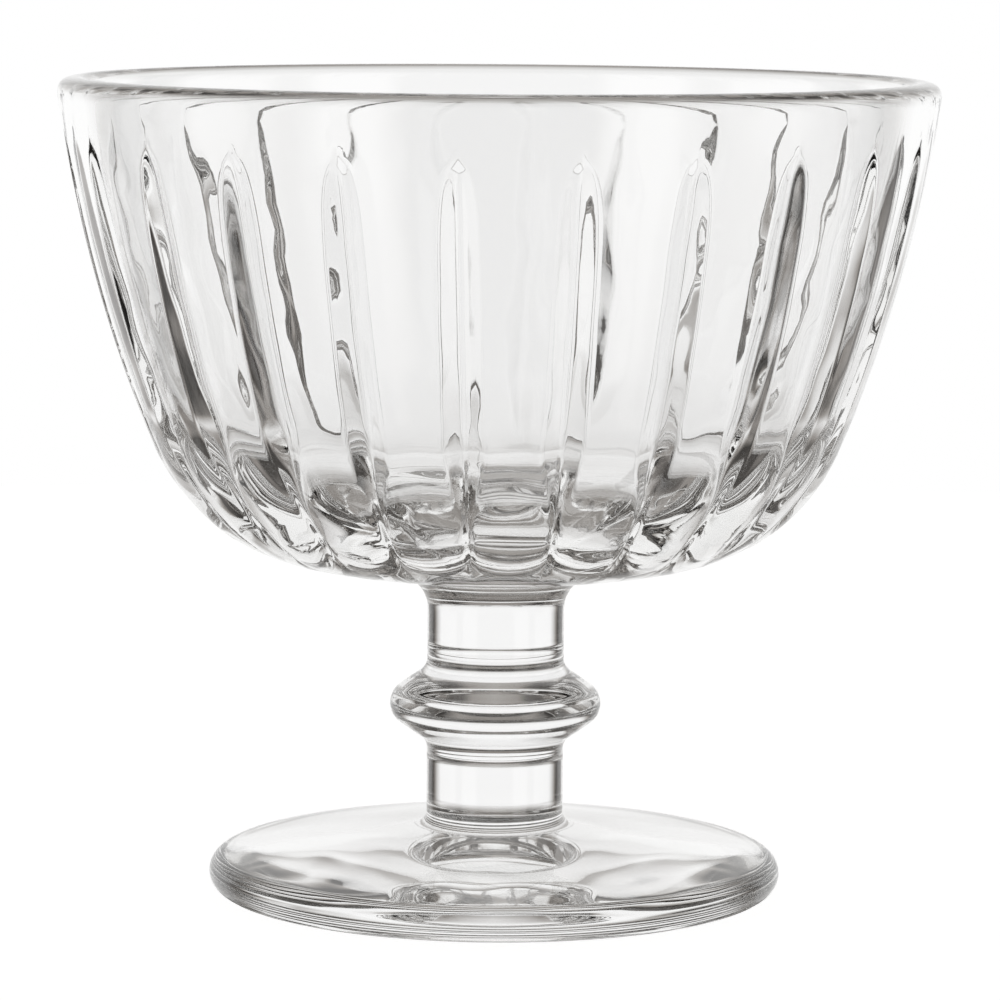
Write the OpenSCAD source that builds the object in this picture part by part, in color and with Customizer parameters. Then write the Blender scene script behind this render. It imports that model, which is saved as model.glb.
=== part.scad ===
// Low footed dessert glass: a fluted bowl on a short stem with a double-cone knop, and a round foot.
// Five pieces of clear glass, fused face to face along one axis.
// Lengths are in millimetres and angles in degrees. The glass stands on z = 0 with its axis on Z.
// A lean is the angle between a piece of the bowl's outline and the upright, going down.

/* [Bowl] */
// Outer diameter of the bowl at its rim
bowl_d = 114.5; // [100:0.5:130]
// Thickness of the bowl's side and of its rounded rim
bowl_wall = 4.3; // [3.8:0.1:5.2]
// Lean of the side just below the rim
rim_lean = 7.8; // [6:0.1:10]
// Radius of the side's outline
side_r = 185; // [170:0.5:205]
// Lean at which the side runs into the belly
belly_lean = 22.4; // [20.5:0.1:24.5]
// Radius of the belly's outline
belly_r = 25.4; // [23:0.1:28]
// Lean of the underside
under_lean = 81; // [79:0.1:83]
// Depth of the hollow's round corner below the middle of the rounded rim
hollow_depth = 54; // [50:0.5:55]
// Radius of the corner between the hollow's side and its floor
hollow_corner_r = 24; // [20:0.5:27]
// Lean of the hollow's floor, which falls a little to its middle
floor_lean = 86; // [84:0.5:88]

/* [Flutes] */
// Number of flutes round the bowl
flutes = 24; // [16:1:28]
// Turn of the first flute away from the front
flute_turn = -5; // [-7.5:0.5:7.5]
// Drop from the bowl's widest line, at its rim, to the flutes' tips
flute_tip_drop = 4.7; // [3:0.1:8]
// Lean of the belly where the flutes end
flute_end_lean = 32; // [28:0.5:36]
// Angle between a flute's two flanks
flute_angle = 114; // [108:1:124]
// Rounding radius at the bottom of a flute
flute_round = 0.8; // [0.5:0.1:1.2]

/* [Stem] */
// Diameter of the neck and of the lower stem
stem_d = 18; // [16:0.5:20]
// Height of the neck between the knop and the bowl
neck_h = 10.5; // [8:0.5:14]
// Radius of the hollow curve where the neck spreads under the bowl
neck_fillet_r = 4.5; // [3.5:0.1:5.5]
// Height of the lower stem between the foot and the knop
lower_stem_h = 9.4; // [7:0.1:14]
// Radius of the hollow curve where the lower stem spreads onto the foot
foot_fillet_r = 1.6; // [1.2:0.1:2.4]

/* [Knop] */
// Outer diameter of the knop
knop_d = 27.8; // [26:0.1:30]
// Slope of the knop's two flanks away from the level
knop_slope = 35; // [30:0.5:42]
// Radius of the knop's round crest
knop_crest_r = 2.8; // [2.4:0.1:3.2]
// Radius of the hollow curves above and below the flanks
knop_fillet_r = 3.3; // [2.6:0.1:4]

/* [Foot] */
// Outer diameter of the foot
foot_d = 75.4; // [66:0.2:84]
// Thickness of the foot's rounded edge
foot_edge = 4.8; // [4:0.1:5.6]
// Height of the foot where the lower stem stands on it
foot_h = 8.6; // [7:0.1:10]
// Width of the flat ring that the glass rests on
rest_ring_w = 4; // [2:0.5:8]
// Depth of the dished underside at its middle
dish_depth = 0.8; // [0.4:0.1:1.6]

/* [Hidden] */
$fn = 180;

// Colour of clear glass
glass_tint = [0.86, 0.9, 0.9, 0.45];

stem_r = stem_d / 2;

// Knop: each straight flank touches the crest's circle outside and a fillet's circle beside the stem.
flank_out = [sin(knop_slope), cos(knop_slope)];
knop_crest_x = knop_d / 2 - knop_crest_r;
knop_fillet_x = stem_r + knop_fillet_r;
crest_touch = [knop_crest_x, 0] + knop_crest_r * flank_out;
fillet_touch_x = knop_fillet_x - knop_fillet_r * flank_out[0];
fillet_touch_y = crest_touch[1] + (crest_touch[0] - fillet_touch_x) * tan(knop_slope);
knop_half_h = fillet_touch_y + knop_fillet_r * flank_out[1];

// Heights of the fused joints, from the foot up
lower_stem_z = foot_h;
knop_z = lower_stem_z + lower_stem_h;
neck_z = knop_z + 2 * knop_half_h;
bowl_z = neck_z + neck_h;

// Radii of the fused joints under the bowl and on the foot
bowl_joint_r = stem_r + neck_fillet_r;
foot_joint_r = stem_r + foot_fillet_r;

// Direction of a lean: from the centre of an arc out to its outline
function lean_out(lean) = [cos(lean), -sin(lean)];

// Outline of the bowl, worked out from the rim down and then set on its joint
rim_point = [bowl_d / 2, 0];
side_centre = rim_point - side_r * lean_out(rim_lean);
belly_point = side_centre + side_r * lean_out(belly_lean);
belly_centre = belly_point - belly_r * lean_out(belly_lean);
under_point = belly_centre + belly_r * lean_out(under_lean);
bowl_foot_y = under_point[1] - (under_point[0] - bowl_joint_r) / tan(under_lean);

// Middle of the rounded rim's section
rim_centre = rim_point - bowl_wall / 2 * lean_out(rim_lean);

// The hollow: a side parallel to the outer one, a corner arc that touches it, and a straight floor
hollow_side_r = side_r - bowl_wall;
corner_y = rim_centre[1] - hollow_depth + hollow_corner_r;
corner_lean = asin((side_centre[1] - corner_y) / (hollow_side_r - hollow_corner_r));
corner_centre = side_centre + (hollow_side_r - hollow_corner_r) * lean_out(corner_lean);
floor_edge = corner_centre + hollow_corner_r * lean_out(floor_lean);
floor_middle_y = floor_edge[1] - floor_edge[0] / tan(floor_lean);

// A flute's floor is a straight line that meets the outline at the tip and again on the belly.
tip_lean = asin(sin(rim_lean) + flute_tip_drop / side_r);
flute_top = side_centre + side_r * lean_out(tip_lean);
flute_end = belly_centre + belly_r * lean_out(flute_end_lean);
flute_chord = flute_end - flute_top;
flute_lean = atan2(-flute_chord[0], -flute_chord[1]);

// Straight steps that each arc of the outline is drawn in
side_steps = 6;
belly_steps = 14;
corner_steps = 10;
rim_steps = 12;

// Height of a flute's cutting section, as a share of the wall: more than the deepest cut
section_share = 0.55;
section_h = bowl_wall * section_share;
// Share of its span by which a cutting shape runs past each end of what it cuts
overrun_share = 0.08;

// Dish under the foot: part of a large ball that meets the rest ring, drawn in fine steps
dish_r = foot_d / 2 - foot_edge / 2 - rest_ring_w;
dish_ball_r = (pow(dish_r, 2) + pow(dish_depth, 2)) / (2 * dish_depth);
dish_facets = 3600;

// Points of an arc from one lean to another
function arc_points(centre, r, lean_a, lean_b, steps) =
    [for (k = [0 : steps]) centre + r * lean_out(lean_a + (lean_b - lean_a) * k / steps)];

// Outline of the bowl's glass on one side of the axis: down the outside, then up the hollow and over the rim
module bowl_section() {
    polygon(concat(
        arc_points(side_centre, side_r, rim_lean, belly_lean, side_steps),
        arc_points(belly_centre, belly_r, belly_lean, under_lean, belly_steps),
        [[bowl_joint_r, bowl_foot_y], [0, bowl_foot_y], [0, floor_middle_y]],
        arc_points(corner_centre, hollow_corner_r, floor_lean, corner_lean, corner_steps),
        arc_points(side_centre, hollow_side_r, corner_lean, rim_lean, side_steps),
        arc_points(rim_centre, bowl_wall / 2, rim_lean - 180, rim_lean, rim_steps)
    ));
}

// Rounded V that points towards -X with its lowest point at x = 0
module v_section() {
    flank = flute_angle / 2;
    touch = [flute_round - flute_round * sin(flank), flute_round * cos(flank)];
    open_y = touch[1] + (section_h - touch[0]) * tan(flank);
    translate([flute_round, 0]) circle(flute_round);
    polygon([
        touch,
        [section_h, open_y],
        [section_h, -open_y],
        [touch[0], -touch[1]]
    ]);
}

// Straight bar of the rounded V that cuts one flute, in the plane of the bowl's outline
module flute_cutter() {
    over = norm(flute_chord) * overrun_share;
    translate([flute_top[0], 0, flute_top[1]]) rotate([0, 180 + flute_lean, 0])
        translate([0, 0, -over]) linear_extrude(norm(flute_chord) + 2 * over)
            mirror([1, 0]) v_section();
}

module bowl() {
    color(glass_tint) translate([0, 0, bowl_z - bowl_foot_y]) difference() {
        rotate_extrude() bowl_section();
        for (k = [0 : flutes - 1]) rotate(flute_turn - 90 + k * 360 / flutes) flute_cutter();
    }
}

module neck() {
    color(glass_tint) translate([0, 0, neck_z]) rotate_extrude() difference() {
        square([bowl_joint_r, neck_h]);
        translate([stem_r, -neck_fillet_r]) square([neck_fillet_r, neck_h]);
        translate([bowl_joint_r, neck_h - neck_fillet_r]) circle(neck_fillet_r);
    }
}

module knop() {
    color(glass_tint) translate([0, 0, knop_z + knop_half_h]) rotate_extrude() {
        difference() {
            polygon([
                [0, -knop_half_h],
                [fillet_touch_x, -knop_half_h],
                [fillet_touch_x, -fillet_touch_y],
                [crest_touch[0], -crest_touch[1]],
                crest_touch,
                [fillet_touch_x, fillet_touch_y],
                [fillet_touch_x, knop_half_h],
                [0, knop_half_h]
            ]);
            for (side = [-1, 1]) translate([knop_fillet_x, side * knop_half_h]) circle(knop_fillet_r);
        }
        translate([knop_crest_x, 0]) circle(knop_crest_r);
    }
}

module lower_stem() {
    color(glass_tint) translate([0, 0, lower_stem_z]) rotate_extrude() difference() {
        square([foot_joint_r, lower_stem_h]);
        translate([stem_r, foot_fillet_r]) square([foot_fillet_r, lower_stem_h]);
        translate([foot_joint_r, foot_fillet_r]) circle(foot_fillet_r);
    }
}

module foot() {
    edge_r = foot_edge / 2;
    edge_x = foot_d / 2 - edge_r;
    color(glass_tint) rotate_extrude() difference() {
        union() {
            polygon([[0, 0], [edge_x, 0], [edge_x, foot_edge], [foot_joint_r, foot_h], [0, foot_h]]);
            translate([edge_x, edge_r]) circle(edge_r);
        }
        translate([0, dish_depth - dish_ball_r]) circle(dish_ball_r, $fn = dish_facets);
    }
}

bowl();
neck();
knop();
lower_stem();
foot();
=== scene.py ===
"""A low footed dessert glass of clear pressed glass, as it looks in bright studio light."""

import bpy
import numpy as np
from mathutils import Matrix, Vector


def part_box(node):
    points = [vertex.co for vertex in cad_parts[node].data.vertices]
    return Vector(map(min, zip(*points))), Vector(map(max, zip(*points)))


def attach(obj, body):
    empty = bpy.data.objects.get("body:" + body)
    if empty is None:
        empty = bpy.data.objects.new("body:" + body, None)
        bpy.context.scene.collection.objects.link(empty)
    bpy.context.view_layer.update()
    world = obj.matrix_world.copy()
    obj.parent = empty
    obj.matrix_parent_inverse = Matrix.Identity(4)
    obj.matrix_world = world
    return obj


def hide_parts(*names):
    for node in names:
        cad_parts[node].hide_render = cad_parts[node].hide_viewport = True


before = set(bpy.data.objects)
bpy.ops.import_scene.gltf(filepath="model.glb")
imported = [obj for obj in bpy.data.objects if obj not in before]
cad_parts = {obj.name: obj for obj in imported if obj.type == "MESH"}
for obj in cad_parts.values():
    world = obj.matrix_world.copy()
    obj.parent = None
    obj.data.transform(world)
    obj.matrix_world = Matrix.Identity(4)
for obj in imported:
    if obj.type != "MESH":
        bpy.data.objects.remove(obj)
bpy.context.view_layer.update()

# Lengths are in metres and angles in degrees. A lean is an angle away from the upright, going down.
DEG = np.pi / 180

# Outline of the bowl, from its rim down
RIM_R = 0.05725
WALL = 0.0043
RIM_LEAN = 7.8
SIDE_R = 0.185
BELLY_LEAN = 22.4
BELLY_R = 0.0254
UNDER_LEAN = 81.0
HOLLOW_DEPTH = 0.054
HOLLOW_CORNER_R = 0.024
HOLLOW_FLOOR_LEAN = 86.0

# Section of the rim: the power that makes it squarer than a half circle, and how much lower it stands
RIM_POWER = 2.5
RIM_LOWER = 0.00005

# Steps of the bowl's outline, in the order in which it runs
UNDERSIDE_STEPS = 6
BELLY_STEPS = 46
SIDE_STEPS = 36
RIM_STEPS = 18
HOLLOW_SIDE_STEPS = 24
HOLLOW_CORNER_STEPS = 34
HOLLOW_FLOOR_STEPS = 6

# Flutes: shallow V grooves with a rounded floor and slightly rounded edges
FLUTES = 24
FLUTE_TURN = -5.0
FLUTE_TIP_Z = 0.0995
FLUTE_WIDEST_Z = 0.082
FLUTE_WAIST_Z = 0.064
FLUTE_NARROW_Z = 0.053
FLUTE_HALF_WIDTH = 0.0024
CREASE_HALF_WIDTH = 0.00055
FLANK_SLOPE = 0.48
FLANK_STEEPER = 0.24
FLOOR_ROUND = 0.0004
EDGE_ROUND = 0.00016
TIP_EASE = 0.002
TIP_SHARE = 0.2

# Lobes: low on the belly the panels sink towards each flute, and under it both flutes and lobes fade out
LOBE_DEPTH = 0.0008
LOBE_TOP_Z = 0.070
LOBE_EASE = 0.018
FADE_END_Z = 0.0445
FADE_EASE = 0.006

# Columns of the bowl's mesh in half a pitch, as shares of a flute's flank, its edge's band and the panel
FLANK_SHARES = np.array([0.12, 0.27, 0.48, 0.74, 1.0])
EDGE_SHARES = np.array([0.0, 0.5, 1.2, 2.4])
PANEL_SHARES = np.array([0.25, 0.6, 1.0])
HALF_COLUMNS = len(FLANK_SHARES) + len(EDGE_SHARES) + len(PANEL_SHARES)
LEAST_HALF_WIDTH = 0.0004
LEAST_COLUMN_R = 0.004

# Ripples of pressing: slope, shortest and longest wave, how many waves, and the ways in which they run
HOLLOW_BROAD = (0.008, (0.007, 0.022), 60)
HOLLOW_FINE = (0.009, (0.0035, 0.007), 60)
OUTSIDE_BROAD = (0.002, (0.012, 0.03), 30)
FLUTE_BROAD = (0.07, (0.004, 0.012), 60)
FLUTE_FINE = (0.07, (0.0016, 0.0035), 60, (-0.12, 0.12))
FOOT_BROAD = (0.014, (0.007, 0.024), 60)
RIPPLE_R = 0.05

# Where the bowl's ripples end: under the rim, towards the axis and low down, each with the length it takes
CALM_RIM_Z = 0.1045
CALM_RIM_EASE = 0.003
CALM_R = 0.02
CALM_R_EASE = 0.02
CALM_LOW_Z = 0.050
CALM_LOW_EASE = 0.020

# Stem, knop and foot
STEM_R = 0.009
NECK_FILLET_R = 0.0045
KNOP_SLOPE = 35.0
KNOP_CREST_R = 0.0028
KNOP_FILLET_R = 0.0023
FOOT_FILLET_R = 0.0016
FOOT_EDGE = 0.0048
REST_RING_W = 0.004
DISH_DEPTH = 0.0008
DISH_START_SHARE = 0.1

# Steps of the outlines of the stem, knop and foot, and the columns of their meshes
FILLET_STEPS = 18
CREST_STEPS = 32
NECK_STEPS = 8
STEM_STEPS = 10
FOOT_FILLET_STEPS = 16
DISH_RINGS = 12
REST_STEPS = 3
FOOT_EDGE_STEPS = 20
FOOT_TOP_STEPS = 40
STEM_COLUMNS = 288
FOOT_COLUMNS = 320

# Glass: the share of light that each surface lets through, what a shadow ray keeps, and how much light bends
GLASS_CLEAR = (0.996, 0.996, 0.995, 1)
GLASS_SHADOW = (0.93, 0.94, 0.94, 1)
GLASS_BEND = 1.52

# Waves in the glass's skin: two scales in waves a metre, the fine one's share, the depth, and the heights
# between which the calm skin of the foot and stem gives way to the bowl's
SKIN_BROAD = 90.0
SKIN_FINE = 300.0
SKIN_FINE_SHARE = 0.1
SKIN_DEPTH = 0.00001
SKIN_CALM_Z = 0.03
SKIN_FULL_Z = 0.05
SKIN_CALM_SHARE = 0.2

# Table top
TABLE_R = 0.45
TABLE_DROP = 0.00005
TABLE_SIDES = 96
TABLE_GLOW = 0.82
TABLE_PAINT = (0.8, 0.8, 0.8, 1)

# Studio that the glass sees: rings of light levels by the angle away from the view's far side. Each ring
# takes over from the one before it between two angles above the level, which come first in its row.
STUDIO = [
    (0, 0, [(0, 1.0), (43, 1.0), (47, 0.75), (52, 0.3), (56, 0.05), (72, 0.05), (77, 0.85), (108, 0.85),
            (113, 0.1), (121, 0.1), (125, 0.85), (146, 0.85), (152, 0.06), (180, 0.05)]),
    (10, 20, [(0, 0.93), (24, 0.86), (40, 0.7), (45, 0.5), (50, 0.18), (54, 0.05), (58, 0.05), (60, 0.32),
              (62, 0.06), (64, 0.03), (66, 0.3), (68, 0.06), (73, 0.05), (78, 0.75), (88, 0.6), (96, 0.3),
              (121, 0.2), (126, 0.8), (146, 0.75), (152, 0.05), (180, 0.04)]),
    (23, 30, [(0, 0.76), (14, 0.62), (28, 0.42), (40, 0.42), (45, 0.85), (59, 0.8), (65, 0.28), (72, 0.24),
              (84, 0.2), (108, 0.14), (120, 0.14), (126, 0.6), (146, 0.5), (152, 0.05), (180, 0.04)]),
    (32, 46, [(0, 0.36), (20, 0.28), (30, 0.07), (60, 0.05), (110, 0.04), (180, 0.04)]),
    (56, 66, [(0, 0.3), (180, 0.28)])]
# A ring that takes over from this angle or lower does so below the level as well
LOW_RING = 20
# Warmer greys for the dim parts of the studio
WARMTH = [(0, (0, 0, 0, 1)), (0.3, (0.3, 0.28, 0.262, 1)), (0.65, (0.65, 0.64, 0.63, 1)), (1, (1, 1, 1, 1))]

# Camera of the photograph
CAMERA_PLACE = (0.0, -0.62816, 0.12899)
CAMERA_DOWN = 7.03
CAMERA_TURN = -0.04
CAMERA_ROLL = 0.42
CAMERA_LENS = 173.46
CAMERA_SENSOR = 36

# Bounces of light: through the thick glass, and off its faces
GLASS_BOUNCES = 32
MIRROR_BOUNCES = 16

rng = np.random.default_rng(24)


def ease(x):
    """Smooth step from 0 to 1: 3x^2 - 2x^3 for x held between 0 and 1."""
    x = np.clip(x, 0, 1)
    return x * x * (3 - 2 * x)


def lean_out(lean):
    """Direction from an arc's centre out to its outline: (cos lean, -sin lean) in radius and height."""
    lean = np.asarray(lean, float) * DEG
    return np.stack([np.cos(lean), -np.sin(lean)], -1)


def arc(centre, radius, lean_a, lean_b, steps):
    """Points on a circle: centre + radius * lean_out(lean), for leans spaced evenly from a to b."""
    return np.asarray(centre) + radius * lean_out(np.linspace(lean_a, lean_b, steps + 1))


def line(a, b, steps):
    """Points spaced evenly on the straight line from a to b, both included."""
    return np.asarray(a) + (np.asarray(b) - a) * np.linspace(0, 1, steps + 1)[:, None]


def out_of_glass(path):
    """Unit normals of a path in radius and height: its direction (dr, dz) turned to (dz, -dr)."""
    step = np.gradient(path, axis=0)
    step /= np.linalg.norm(step, axis=1)[:, None]
    return np.stack([step[:, 1], -step[:, 0]], 1)


def ripples(across, along, amount, lengths, count):
    """Sum of plane waves over two lengths in metres: amount * cos(k . place + phase), with k in random
    directions, wavelengths spread over the given range, and each wave's slope about the same."""
    total = np.zeros(np.broadcast(across, along).shape)
    for _ in range(count):
        length = rng.uniform(*lengths)
        way = rng.uniform(0, np.pi)
        phase = rng.uniform(0, 2 * np.pi)
        wave = 2 * np.pi / length
        total += length * np.cos(wave * (across * np.cos(way) + along * np.sin(way)) + phase)
    return amount * total / (2 * np.pi * np.sqrt(count / 2))


def round_ripples(angle, radius, along, amount, lengths, count, ways=(0, np.pi)):
    """Ripples that close round the glass: amount * cos(m * angle + k * along + phase), with whole numbers m.
    A way is the direction in which a ripple runs: 0 is round the glass."""
    total = np.zeros(np.broadcast(angle, along).shape)
    for _ in range(count):
        length = rng.uniform(*lengths)
        way = rng.uniform(*ways)
        phase = rng.uniform(0, 2 * np.pi)
        turns = np.round(2 * np.pi * radius / length * np.cos(way))
        total += length * np.cos(turns * angle + 2 * np.pi / length * np.sin(way) * along + phase)
    return amount * total / (2 * np.pi * np.sqrt(count / 2))


def turned(radius, height, angle):
    """Points of a turned surface: (r sin a, -r cos a, z), with a = 0 at the front."""
    radius, height, angle = np.broadcast_arrays(radius, height, angle)
    return np.stack([radius * np.sin(angle), -radius * np.cos(angle), height], -1)


def rim_section(centre):
    """Section of the rim, squarer than a half circle: half wall * |cos t|^(2 / n) out along the rim's lean
    and nearly half wall * |sin t|^(2 / n) up, for t from 0 outside to 180 inside, without the two ends."""
    t = np.linspace(0, np.pi, RIM_STEPS + 1)[1:-1]
    out = WALL / 2 * np.sign(np.cos(t)) * np.abs(np.cos(t)) ** (2 / RIM_POWER)
    up = (WALL / 2 - RIM_LOWER) * np.sin(t) ** (2 / RIM_POWER)
    return centre + out[:, None] * lean_out(RIM_LEAN) + up[:, None] * lean_out(RIM_LEAN - 90)


def bowl_outline():
    """Outline of the bowl's glass in radius and height, and for each point its face: 0 outside, 1 rim and
    2 inside. It runs up from the joint: straight underside, belly arc, side arc, rim section, side arc,
    corner arc, and a straight floor to the axis."""
    low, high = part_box("bowl")
    rim_centre = np.array([RIM_R, high.z - WALL / 2]) - WALL / 2 * lean_out(RIM_LEAN) * [1, 0]
    rim_point = rim_centre + WALL / 2 * lean_out(RIM_LEAN)
    side_centre = rim_point - SIDE_R * lean_out(RIM_LEAN)
    belly_point = side_centre + SIDE_R * lean_out(BELLY_LEAN)
    belly_centre = belly_point - BELLY_R * lean_out(BELLY_LEAN)
    under_point = belly_centre + BELLY_R * lean_out(UNDER_LEAN)
    joint = (STEM_R + NECK_FILLET_R, low.z)
    hollow_side_r = SIDE_R - WALL
    corner_y = rim_centre[1] - HOLLOW_DEPTH + HOLLOW_CORNER_R
    corner_lean = np.arcsin((side_centre[1] - corner_y) / (hollow_side_r - HOLLOW_CORNER_R)) / DEG
    corner_centre = side_centre + (hollow_side_r - HOLLOW_CORNER_R) * lean_out(corner_lean)
    floor_edge = corner_centre + HOLLOW_CORNER_R * lean_out(HOLLOW_FLOOR_LEAN)
    floor_middle = (0.0, floor_edge[1] - floor_edge[0] / np.tan(HOLLOW_FLOOR_LEAN * DEG))
    outside = [
        line(joint, under_point, UNDERSIDE_STEPS)[:-1],
        arc(belly_centre, BELLY_R, UNDER_LEAN, BELLY_LEAN, BELLY_STEPS)[:-1],
        arc(side_centre, SIDE_R, BELLY_LEAN, RIM_LEAN, SIDE_STEPS)]
    rim = rim_section(rim_centre)
    inside = [
        arc(side_centre, hollow_side_r, RIM_LEAN, corner_lean, HOLLOW_SIDE_STEPS)[:-1],
        arc(corner_centre, HOLLOW_CORNER_R, corner_lean, HOLLOW_FLOOR_LEAN, HOLLOW_CORNER_STEPS)[:-1],
        line(floor_edge, floor_middle, HOLLOW_FLOOR_STEPS)]
    outside, inside = np.concatenate(outside), np.concatenate(inside)
    face = np.repeat([0, 1, 2], [len(outside), len(rim), len(inside)])
    return np.concatenate([outside, rim, inside]), face


def flute_half_width(height):
    """Half width of a flute by height: w * (1 - (1 - t)^4)^0.6 from nothing at the tip to its widest, even
    down to the waist, then a smooth step to a fine crease under the belly. Above the tip it falls by
    2 * the height over it, so that it turns negative."""
    share = np.clip((FLUTE_TIP_Z - height) / (FLUTE_TIP_Z - FLUTE_WIDEST_Z), 0, 1)
    rise = FLUTE_HALF_WIDTH * (1 - (1 - share) ** 4) ** 0.6
    fall = 1 - ease((FLUTE_WAIST_Z - height) / (FLUTE_WAIST_Z - FLUTE_NARROW_Z))
    below = CREASE_HALF_WIDTH + (FLUTE_HALF_WIDTH - CREASE_HALF_WIDTH) * fall
    width = np.where(height > FLUTE_WIDEST_Z, rise, below)
    return width - 2 * np.clip(height - FLUTE_TIP_Z, 0, 1)


def flute_cut(across, half_width):
    """Depth of a flute: slope * v + steeper * v^2 / (2 * widest), where v = (u + sqrt(u^2 + edge^2)) / 2
    softens the two edges and u = half width + floor / 2 - sqrt(x^2 + floor^2) falls off to both sides."""
    inward = half_width - np.sqrt(across ** 2 + FLOOR_ROUND ** 2) + FLOOR_ROUND / 2
    inward = (inward + np.sqrt(inward ** 2 + EDGE_ROUND ** 2)) / 2
    return FLANK_SLOPE * inward + FLANK_STEEPER * inward ** 2 / (2 * FLUTE_HALF_WIDTH)


def bowl_columns(radius, half_width, even_share):
    """Angles of the columns within one pitch, by row: close together at the flute's floor and edges and wide
    apart on the panel between two flutes, or evenly spaced where the even share is 1, as in the hollow."""
    half_pitch = np.pi / FLUTES
    reach = np.maximum(half_width, LEAST_HALF_WIDTH)[:, None]
    band = 2 * EDGE_ROUND
    flank = (reach - band / 2) * FLANK_SHARES
    edge = reach + band * EDGE_SHARES
    start = edge[:, -1:] / radius[:, None]
    panel = start + (half_pitch - start) * PANEL_SHARES
    right = np.concatenate([flank / radius[:, None], edge / radius[:, None], panel], 1)
    fluted = np.concatenate([-right[:, -2::-1], np.zeros((len(radius), 1)), right], 1)
    even = half_pitch * np.arange(1 - HALF_COLUMNS, 1 + HALF_COLUMNS) / HALF_COLUMNS
    return fluted + even_share[:, None] * (even - fluted)


def flute_sink(across, near, half_width, height):
    """Depth below the bowl's outside: the flute's cut, which is smaller at its tip, plus the lobe's
    depth * (1 - share of half a pitch)^2. Both fade out under the belly. The cut alone is given too."""
    tip = TIP_SHARE + (1 - TIP_SHARE) * ease((FLUTE_TIP_Z - height) / TIP_EASE)
    cut = flute_cut(across, half_width[:, None]) * tip[:, None]
    swell = ease((LOBE_TOP_Z - height) / LOBE_EASE)[:, None]
    lobe = LOBE_DEPTH * swell * (1 - np.abs(near) * FLUTES / np.pi) ** 2
    fluted = ease((height - FADE_END_Z) / FADE_EASE)[:, None]
    return fluted * (cut + lobe), cut


def ripple_share(radius, height):
    """Share of the ripples by place: smooth steps that end it at the rim, near the axis and low down."""
    under_rim = ease((CALM_RIM_Z - height) / CALM_RIM_EASE)
    off_axis = ease((radius - CALM_R) / CALM_R_EASE)
    above_bottom = ease((height - CALM_LOW_Z) / CALM_LOW_EASE)
    return (under_rim * off_axis * above_bottom)[:, None]


def bowl_grid():
    """Points of the bowl's surface, and the height of the hollow's floor at the axis. The outline is turned
    round the axis and moved along its normals: inwards by the flutes and lobes on the outside, and both ways
    by the ripples that pressing leaves, which are liveliest in the flutes."""
    path, face = bowl_outline()
    normal = out_of_glass(path)[:-1]
    radius, height = path[:-1].T
    face = face[:-1]
    half_width = np.where(face == 0, flute_half_width(height), LEAST_HALF_WIDTH)
    even_share = (face == 2).astype(float)
    even_share[face == 1] = np.linspace(0, 1, np.count_nonzero(face == 1))
    near = bowl_columns(np.maximum(radius, LEAST_COLUMN_R), half_width, even_share)
    sink, cut = flute_sink(near * radius[:, None], near, half_width, height)
    first = FLUTE_TURN * DEG
    turns = 2 * np.pi / FLUTES * np.arange(FLUTES) + first
    angle = (near[:, None, :] + turns[None, :, None]).reshape(len(radius), -1)
    steps = np.linalg.norm(np.diff(path[:-1], axis=0), axis=1)
    along = np.concatenate([[0], np.cumsum(steps)])[:, None]
    inside = round_ripples(angle, RIPPLE_R, along, *HOLLOW_BROAD)
    inside += round_ripples(angle, RIPPLE_R, along, *HOLLOW_FINE)
    outside = round_ripples(angle, RIPPLE_R, along, *OUTSIDE_BROAD)
    fluted = round_ripples(angle, RIPPLE_R, along, *FLUTE_BROAD)
    fluted += round_ripples(angle, RIPPLE_R, along, *FLUTE_FINE)
    fluted *= np.tile(cut / (cut.max() + cut), (1, FLUTES))
    share = ripple_share(radius, height)
    outside = outside * share + fluted - np.tile(sink, (1, FLUTES))
    face = face[:, None]
    move = np.where(face == 2, inside * share, np.where(face == 0, outside, 0))
    grid = turned(radius[:, None] + normal[:, :1] * move, height[:, None] + normal[:, 1:] * move, angle)
    return grid, path[-1, 1]


def plain_grid(path, columns):
    """Points of a plain turned piece: its outline at evenly spaced angles."""
    angle = np.arange(columns) * 2 * np.pi / columns
    return turned(path[:, :1], path[:, 1:], angle[None])


def knop_outline():
    """Outline of the knop: a tight hollow curve out of the stem, a straight flank that touches both that
    curve and the round crest, and the same back to the stem."""
    low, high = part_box("knop")
    middle = (low.z + high.z) / 2
    steep = 90 - KNOP_SLOPE
    out, up = np.sin(KNOP_SLOPE * DEG), np.cos(KNOP_SLOPE * DEG)
    crest_x = high.x - KNOP_CREST_R
    fillet_x = STEM_R + KNOP_FILLET_R
    flank = crest_x - fillet_x + (KNOP_CREST_R + KNOP_FILLET_R) * out
    bend = (KNOP_CREST_R + KNOP_FILLET_R) * up + flank * out / up
    return np.concatenate([
        [(STEM_R, low.z)],
        arc((fillet_x, middle - bend), KNOP_FILLET_R, 180, 180 + steep, FILLET_STEPS),
        arc((crest_x, middle), KNOP_CREST_R, steep, -steep, CREST_STEPS),
        arc((fillet_x, middle + bend), KNOP_FILLET_R, 180 - steep, 180, FILLET_STEPS),
        [(STEM_R, high.z)]])


def neck_outline():
    """Outline of the neck: straight, then a hollow curve that spreads under the bowl."""
    low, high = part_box("neck")
    bend = high.z - NECK_FILLET_R
    return np.concatenate([
        line((STEM_R, low.z), (STEM_R, bend), NECK_STEPS)[:-1],
        arc((STEM_R + NECK_FILLET_R, bend), NECK_FILLET_R, 180, 270, FILLET_STEPS)])


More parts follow.
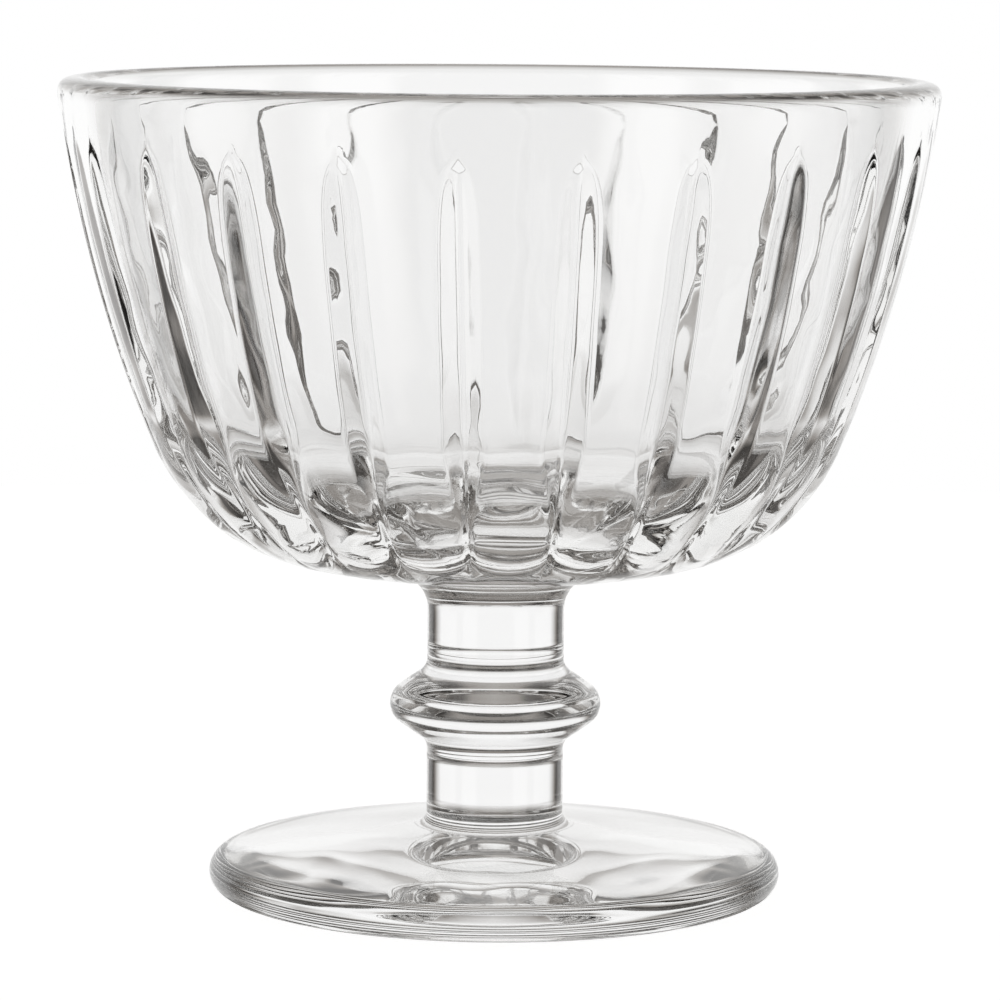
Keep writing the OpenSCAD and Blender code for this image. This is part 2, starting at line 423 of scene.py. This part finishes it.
def lower_stem_outline():
    """Outline of the lower stem: a hollow curve up from the foot, then straight."""
    low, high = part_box("lower_stem")
    bend = low.z + FOOT_FILLET_R
    return np.concatenate([
        arc((STEM_R + FOOT_FILLET_R, bend), FOOT_FILLET_R, 90, 180, FOOT_FILLET_STEPS)[:-1],
        line((STEM_R, bend), (STEM_R, high.z), STEM_STEPS)])


def foot_grid():
    """Points of the foot: a dish that rises by depth * (1 - t^2), the flat ring, the round edge, and a cone
    up to the stem, whose ripples grow and fade as the root of half a sine wave along it."""
    low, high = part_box("foot")
    edge_r = FOOT_EDGE / 2
    edge_x = high.x - edge_r
    dish_r = edge_x - REST_RING_W
    dish = np.linspace(DISH_START_SHARE, 1, DISH_RINGS)
    dish = np.stack([dish_r * dish, DISH_DEPTH * (1 - dish ** 2)], 1)
    ring = line((dish_r, 0), (edge_x, 0), REST_STEPS)[1:-1]
    slope = np.arctan2(high.z - FOOT_EDGE, edge_x - STEM_R - FOOT_FILLET_R) / DEG
    edge = arc((edge_x, edge_r), edge_r, 90, slope - 90, FOOT_EDGE_STEPS)
    top = line(edge[-1], (STEM_R + FOOT_FILLET_R, high.z), FOOT_TOP_STEPS)[1:]
    path = np.concatenate([dish, ring, edge, top])
    grid = plain_grid(path, FOOT_COLUMNS)
    wave = ripples(grid[..., 0], grid[..., 1], *FOOT_BROAD)
    share = np.zeros(len(path))
    share[-len(top):] = np.sin(np.linspace(0, np.pi, len(top))) ** 0.5
    grid[..., 2] += wave * share[:, None]
    return grid


def make_piece(node, grid, bottom, top, seams):
    """A closed mesh from a grid of rings that run from the bottom of the axis round to its top: four-sided
    faces between the rings and a fan to the axis at each end. A fan named in seams lies in a fused joint."""
    rows, columns = grid.shape[:2]
    points = np.concatenate([grid.reshape(-1, 3), [(0, 0, bottom), (0, 0, top)]])
    ring = np.arange(columns)
    after = (ring + 1) % columns
    row = np.arange(rows - 1)[:, None] * columns
    quads = np.stack([row + ring, row + after, row + after + columns, row + ring + columns], -1).reshape(-1)
    count = rows * columns
    low = np.stack([np.full(columns, count), after, ring], -1).reshape(-1)
    last = count - columns
    high = np.stack([last + ring, last + after, np.full(columns, count + 1)], -1).reshape(-1)
    corners = np.concatenate([quads, low, high])
    squares = (rows - 1) * columns
    starts = np.concatenate([4 * np.arange(squares), 4 * squares + 3 * np.arange(2 * columns)])
    joined = np.repeat([False, "bottom" in seams, "top" in seams], [squares, columns, columns])
    mesh = bpy.data.meshes.new(node + "_glass")
    mesh.vertices.add(len(points))
    mesh.vertices.foreach_set("co", points.astype(np.float32).ravel())
    mesh.loops.add(len(corners))
    mesh.loops.foreach_set("vertex_index", corners.astype(np.int32))
    mesh.polygons.add(len(starts))
    mesh.polygons.foreach_set("loop_start", starts.astype(np.int32))
    mesh.polygons.foreach_set("material_index", joined.astype(np.int32))
    mesh.polygons.foreach_set("use_smooth", ~joined)
    mesh.materials.append(clear_glass)
    mesh.materials.append(fused_joint)
    mesh.update(calc_edges=True)
    piece = bpy.data.objects.new(node + "_glass", mesh)
    bpy.context.collection.objects.link(piece)
    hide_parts(node)
    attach(piece, "root")


class Wire:
    """An output socket. Arithmetic on it adds Math nodes to its tree."""

    def __init__(self, tree, socket):
        self.tree = tree
        self.socket = socket

    def math(self, operation, *others):
        return self.tree.add("ShaderNodeMath", {"operation": operation}, dict(enumerate((self,) + others)))

    def __add__(self, other):
        return self.math("ADD", other)

    def __mul__(self, other):
        return self.math("MULTIPLY", other)

    __radd__ = __add__
    __rmul__ = __mul__


class Tree:
    """The node tree of a material or a world, emptied. add() is the one way in which a node gets in."""

    def __init__(self, owner):
        owner.use_nodes = True
        self.nodes = owner.node_tree.nodes
        self.links = owner.node_tree.links
        self.nodes.clear()

    def add(self, kind, settings=None, inputs=None, output=0):
        node = self.nodes.new(kind)
        for name, value in (settings or {}).items():
            if name == "stops":
                self.set_stops(node.color_ramp, value)
            else:
                setattr(node, name, value)
        for name, value in (inputs or {}).items():
            if isinstance(value, Wire):
                self.links.new(value.socket, node.inputs[name])
            else:
                node.inputs[name].default_value = value
        return Wire(self, node.outputs[output]) if node.outputs else node

    def set_stops(self, ramp, stops):
        while len(ramp.elements) < len(stops):
            ramp.elements.new(1.0)
        for element, (place, colour) in zip(ramp.elements, stops):
            element.position = place
        for element, (place, colour) in zip(ramp.elements, stops):
            element.color = colour


def make_clear_glass():
    """Clear glass whose skin waves very slightly, as pressed and fire-polished glass does, and less on the
    foot and stem than on the bowl. Lamps shine through."""
    material = bpy.data.materials.new("clear_glass")
    tree = Tree(material)
    place = tree.add("ShaderNodeTexCoord", output="Object")
    broad = tree.add("ShaderNodeTexNoise", {}, {"Vector": place, "Scale": SKIN_BROAD, "Detail": 0.0})
    fine = tree.add("ShaderNodeTexNoise", {}, {"Vector": place, "Scale": SKIN_FINE, "Detail": 0.0})
    up = tree.add("ShaderNodeSeparateXYZ", {}, {"Vector": place}, "Z")
    reach = {"From Min": SKIN_CALM_Z, "From Max": SKIN_FULL_Z, "To Min": SKIN_CALM_SHARE}
    uneven = tree.add("ShaderNodeMapRange", {}, {"Value": up, **reach})
    wave = (broad + fine * SKIN_FINE_SHARE) * uneven
    skin = tree.add("ShaderNodeBump", {}, {"Height": wave, "Strength": 1.0, "Distance": SKIN_DEPTH})
    body = {"IOR": GLASS_BEND, "Roughness": 0.0, "Color": GLASS_CLEAR}
    glass = tree.add("ShaderNodeBsdfGlass", {}, {**body, "Normal": skin})
    clear = tree.add("ShaderNodeBsdfTransparent", {}, {"Color": GLASS_SHADOW})
    shadow = tree.add("ShaderNodeLightPath", output="Is Shadow Ray")
    shown = tree.add("ShaderNodeMixShader", {}, {0: shadow, 1: glass, 2: clear})
    tree.add("ShaderNodeOutputMaterial", {}, {"Surface": shown})
    return material


def make_fused_joint():
    """The flat place where two pieces run into each other: nothing to see, as the glass goes on."""
    material = bpy.data.materials.new("fused_joint")
    tree = Tree(material)
    clear = tree.add("ShaderNodeBsdfTransparent")
    tree.add("ShaderNodeOutputMaterial", {}, {"Surface": clear})
    return material


def make_floor():
    """Round white table top. The camera sees plain white with the glass's faint shadow, and the glass sees
    a polished top that mirrors the studio."""
    angle = np.arange(TABLE_SIDES) * 2 * np.pi / TABLE_SIDES
    points = turned(TABLE_R, -TABLE_DROP, angle)
    mesh = bpy.data.meshes.new("table_top")
    mesh.from_pydata(points.tolist(), [], [list(range(len(points)))])
    material = bpy.data.materials.new("table_white")
    tree = Tree(material)
    glow = tree.add("ShaderNodeEmission", {}, {"Color": (1, 1, 1, 1), "Strength": TABLE_GLOW})
    paint = tree.add("ShaderNodeBsdfDiffuse", {}, {"Color": TABLE_PAINT})
    seen = tree.add("ShaderNodeAddShader", {}, {0: glow, 1: paint})
    polish = tree.add("ShaderNodeBsdfGlossy", {}, {"Color": (1, 1, 1, 1), "Roughness": 0.0})
    camera = tree.add("ShaderNodeLightPath", output="Is Camera Ray")
    shown = tree.add("ShaderNodeMixShader", {}, {0: camera, 1: polish, 2: seen})
    tree.add("ShaderNodeOutputMaterial", {}, {"Surface": shown})
    mesh.materials.append(material)
    floor = bpy.data.objects.new("table_top", mesh)
    bpy.context.collection.objects.link(floor)


def make_studio():
    """White backdrop for the camera. The glass sees the studio's rings: a wide white wall behind it and
    white panels beside it, with dark gaps between them, a dark room behind the camera, and dimmer, warmer
    light towards the ceiling. Each ring is mixed over the one before by its share at that height."""
    world = bpy.data.worlds.new("studio")
    bpy.context.scene.world = world
    tree = Tree(world)
    way = tree.add("ShaderNodeTexCoord", output="Generated")
    parts = tree.add("ShaderNodeSeparateXYZ", {}, {0: way})
    x, y, z = (Wire(tree, socket) for socket in parts.socket.node.outputs)
    turn = x.math("ARCTAN2", y).math("ABSOLUTE") * (1 / np.pi)
    height = z.math("ARCSINE") * (1 / DEG)
    grey = None
    for start, end, panels in STUDIO:
        stops = [(place / 180, (level, level, level, 1)) for place, level in panels]
        ring = tree.add("ShaderNodeValToRGB", {"stops": stops}, {"Fac": turn})
        if grey is None:
            grey = ring
            continue
        seen_at = height if start > LOW_RING else height.math("ABSOLUTE")
        share = tree.add("ShaderNodeMapRange", {}, {"Value": seen_at, "From Min": start, "From Max": end})
        grey = tree.add("ShaderNodeMix", {"data_type": "RGBA"}, {0: share, 6: grey, 7: ring}, 2)
    studio = tree.add("ShaderNodeValToRGB", {"stops": WARMTH}, {"Fac": grey})
    camera = tree.add("ShaderNodeLightPath", output="Is Camera Ray")
    seen = tree.add("ShaderNodeMix", {"data_type": "RGBA"}, {0: camera, 6: studio, 7: (1, 1, 1, 1)}, 2)
    light = tree.add("ShaderNodeBackground", {}, {"Color": seen})
    tree.add("ShaderNodeOutputWorld", {}, {"Surface": light})


def make_camera():
    """The photograph's camera: a long lens a little above the rim, looking down at the glass."""
    lens = bpy.data.cameras.new("photo_camera")
    lens.sensor_width = CAMERA_SENSOR
    lens.lens = CAMERA_LENS
    camera = bpy.data.objects.new("photo_camera", lens)
    turn = Matrix.Rotation(CAMERA_TURN * DEG, 4, "Z")
    tip = Matrix.Rotation((90 - CAMERA_DOWN) * DEG, 4, "X")
    roll = Matrix.Rotation(CAMERA_ROLL * DEG, 4, "Z")
    camera.matrix_world = Matrix.Translation(CAMERA_PLACE) @ turn @ tip @ roll
    bpy.context.collection.objects.link(camera)
    bpy.context.scene.camera = camera


clear_glass = make_clear_glass()
fused_joint = make_fused_joint()

bowl, hollow_floor = bowl_grid()
make_piece("bowl", bowl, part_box("bowl")[0].z, hollow_floor, ("bottom",))
for name, outline_of in (("neck", neck_outline), ("knop", knop_outline), ("lower_stem", lower_stem_outline)):
    outline = outline_of()
    make_piece(name, plain_grid(outline, STEM_COLUMNS), outline[0, 1], outline[-1, 1], ("bottom", "top"))
make_piece("foot", foot_grid(), DISH_DEPTH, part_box("foot")[1].z, ("top",))

make_floor()
make_studio()
make_camera()

scene = bpy.context.scene
scene.view_settings.view_transform = "Standard"
scene.cycles.max_bounces = GLASS_BOUNCES
scene.cycles.transmission_bounces = GLASS_BOUNCES
scene.cycles.transparent_max_bounces = GLASS_BOUNCES
scene.cycles.glossy_bounces = MIRROR_BOUNCES
